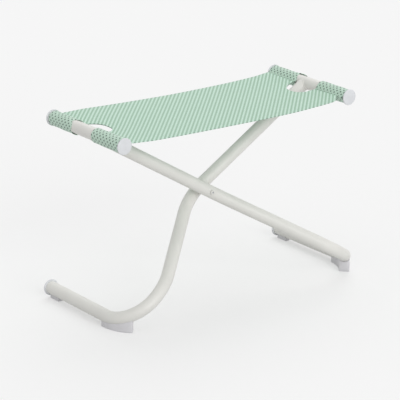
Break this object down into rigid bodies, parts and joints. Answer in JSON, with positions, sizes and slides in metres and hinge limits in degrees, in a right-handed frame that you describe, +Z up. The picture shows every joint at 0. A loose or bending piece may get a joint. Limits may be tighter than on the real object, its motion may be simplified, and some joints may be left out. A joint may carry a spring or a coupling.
{
  "type": "folding footstool",
  "caption": "Folding outdoor footstool: bent tube legs cross at one pivot and carry top rails, with a striped mesh sling stretched between the rails.",
  "frame": {"origin": "centre of the footprint box on the floor, under the middle of the part", "axes": "+Z up, +X along the sling from the left rail to the right rail, +Y along the rails towards the open ends of the floor tubes"},
  "size_m": [0.603, 0.2795, 0.378],
  "materials": {
    "frame_paint": "warm off-white powder coat, satin with a fine texture",
    "cap_plastic": "cool white moulded plastic, soft gloss",
    "foot_plastic": "light grey moulded plastic, satin",
    "sling_fabric": "coated mesh cloth in mint with narrow sage stripes",
    "sleeve_fabric": "the same mesh cloth folded round the rails, with rows of dark green dots",
    "pivot_steel": "zinc-plated steel",
    "spacer_nylon": "natural nylon, matte"
  },
  "bodies": {
    "rear_frame": {"rear_leg_tube": "frame_paint", "rear_leg_near_foot": "foot_plastic", "rear_leg_far_foot": "foot_plastic", "rear_leg_floor_cap": "cap_plastic", "rear_leg_crush_sleeve": "pivot_steel", "right_rail_tube": "frame_paint", "right_rail_near_cap": "cap_plastic", "right_rail_far_cap": "cap_plastic", "right_sleeve_near": "sleeve_fabric", "right_sleeve_far": "sleeve_fabric", "sling_panel": "sling_fabric", "pivot_bolt": "pivot_steel", "pivot_spacer": "spacer_nylon", "pivot_washer": "pivot_steel", "pivot_dome_nut": "pivot_steel"},
    "front_frame": {"front_leg_tube": "frame_paint", "front_leg_near_foot": "foot_plastic", "front_leg_far_foot": "foot_plastic", "front_leg_floor_cap": "cap_plastic", "front_leg_crush_sleeve": "pivot_steel", "left_rail_tube": "frame_paint", "left_rail_near_cap": "cap_plastic", "left_rail_far_cap": "cap_plastic", "left_sleeve_near": "sleeve_fabric", "left_sleeve_far": "sleeve_fabric"}
  },
  "joints": [
    {"name": "fold", "type": "hinge", "parent": "rear_frame", "child": "front_frame", "pos_m": [0, 0, 0.19537], "axis": [0, 1, 0], "range_deg": [0, 105], "deforming": ["sling_panel"]}
  ]
}
